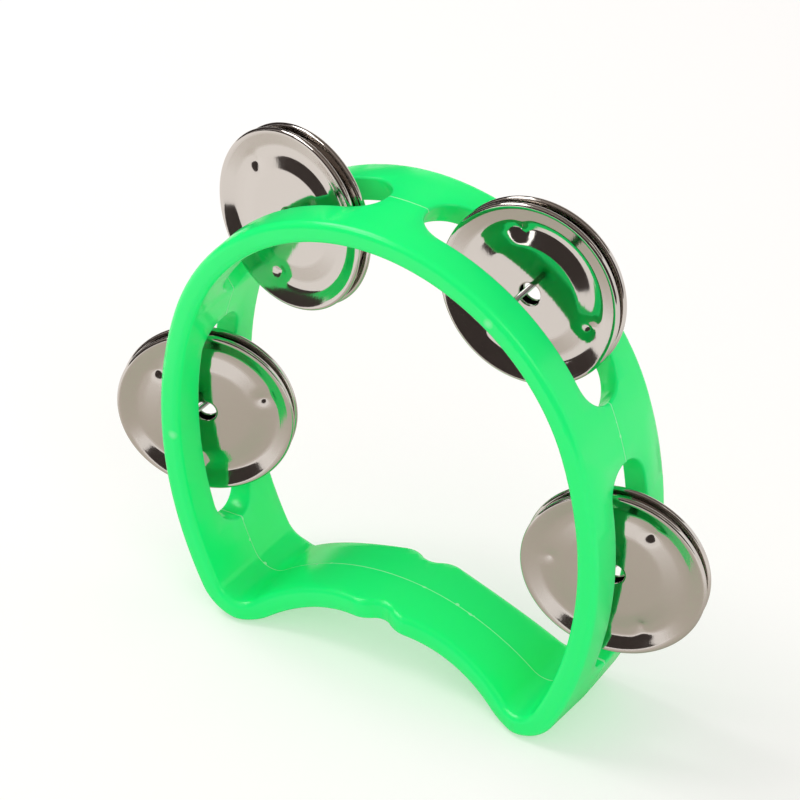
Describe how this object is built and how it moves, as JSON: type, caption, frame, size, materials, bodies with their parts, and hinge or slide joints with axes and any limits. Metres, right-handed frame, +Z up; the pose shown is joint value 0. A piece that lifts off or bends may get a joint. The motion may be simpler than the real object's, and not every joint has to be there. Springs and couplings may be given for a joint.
{
  "type": "half moon tambourine",
  "caption": "Hand-held half moon tambourine: green plastic strip frame with an arched grip and pairs of dished steel jingles on pins in slots.",
  "frame": {"origin": "middle of the footprint, on the floor that the two rounded feet stand on", "axes": "+X from the left foot to the right foot seen from the front, +Y along the strip's width from the front to the back, +Z up from the feet to the crown"},
  "size_m": [0.1436, 0.029, 0.1207],
  "materials": {
    "green_plastic": "gloss",
    "jingle_steel": "polished",
    "pin_steel": "satin"
  },
  "bodies": {
    "root": {"frame": "green_plastic", "pin_upper_left": "pin_steel", "pin_upper_right": "pin_steel", "pin_lower_left": "pin_steel", "pin_lower_right": "pin_steel"},
    "jingle_upper_left_front": {"jingle_upper_left_front": "jingle_steel"},
    "jingle_upper_left_back": {"jingle_upper_left_back": "jingle_steel"},
    "jingle_upper_right_front": {"jingle_upper_right_front": "jingle_steel"},
    "jingle_upper_right_back": {"jingle_upper_right_back": "jingle_steel"},
    "jingle_lower_left_front": {"jingle_lower_left_front": "jingle_steel"},
    "jingle_lower_left_back": {"jingle_lower_left_back": "jingle_steel"},
    "jingle_lower_right_front": {"jingle_lower_right_front": "jingle_steel"},
    "jingle_lower_right_back": {"jingle_lower_right_back": "jingle_steel"}
  },
  "joints": [
    {"name": "jingle_upper_left_front_slide", "type": "slide", "parent": "root", "child": "jingle_upper_left_front", "axis": [0, 1, 0], "range_m": [-0.0012, 0]},
    {"name": "jingle_upper_left_back_slide", "type": "slide", "parent": "root", "child": "jingle_upper_left_back", "axis": [0, 1, 0], "range_m": [0, 0.0019]},
    {"name": "jingle_upper_right_front_slide", "type": "slide", "parent": "root", "child": "jingle_upper_right_front", "axis": [0, 1, 0], "range_m": [-0.0054, 0]},
    {"name": "jingle_upper_right_back_slide", "type": "slide", "parent": "root", "child": "jingle_upper_right_back", "axis": [0, 1, 0], "range_m": [0, 0.0007]},
    {"name": "jingle_lower_left_front_slide", "type": "slide", "parent": "root", "child": "jingle_lower_left_front", "axis": [0, 1, 0], "range_m": [-0.003, 0]},
    {"name": "jingle_lower_left_back_slide", "type": "slide", "parent": "root", "child": "jingle_lower_left_back", "axis": [0, 1, 0], "range_m": [0, 0.0016]},
    {"name": "jingle_lower_right_front_slide", "type": "slide", "parent": "root", "child": "jingle_lower_right_front", "axis": [0, 1, 0], "range_m": [-0.0005, 0]},
    {"name": "jingle_lower_right_back_slide", "type": "slide", "parent": "root", "child": "jingle_lower_right_back", "axis": [0, 1, 0], "range_m": [0, 0.0054]}
  ]
}
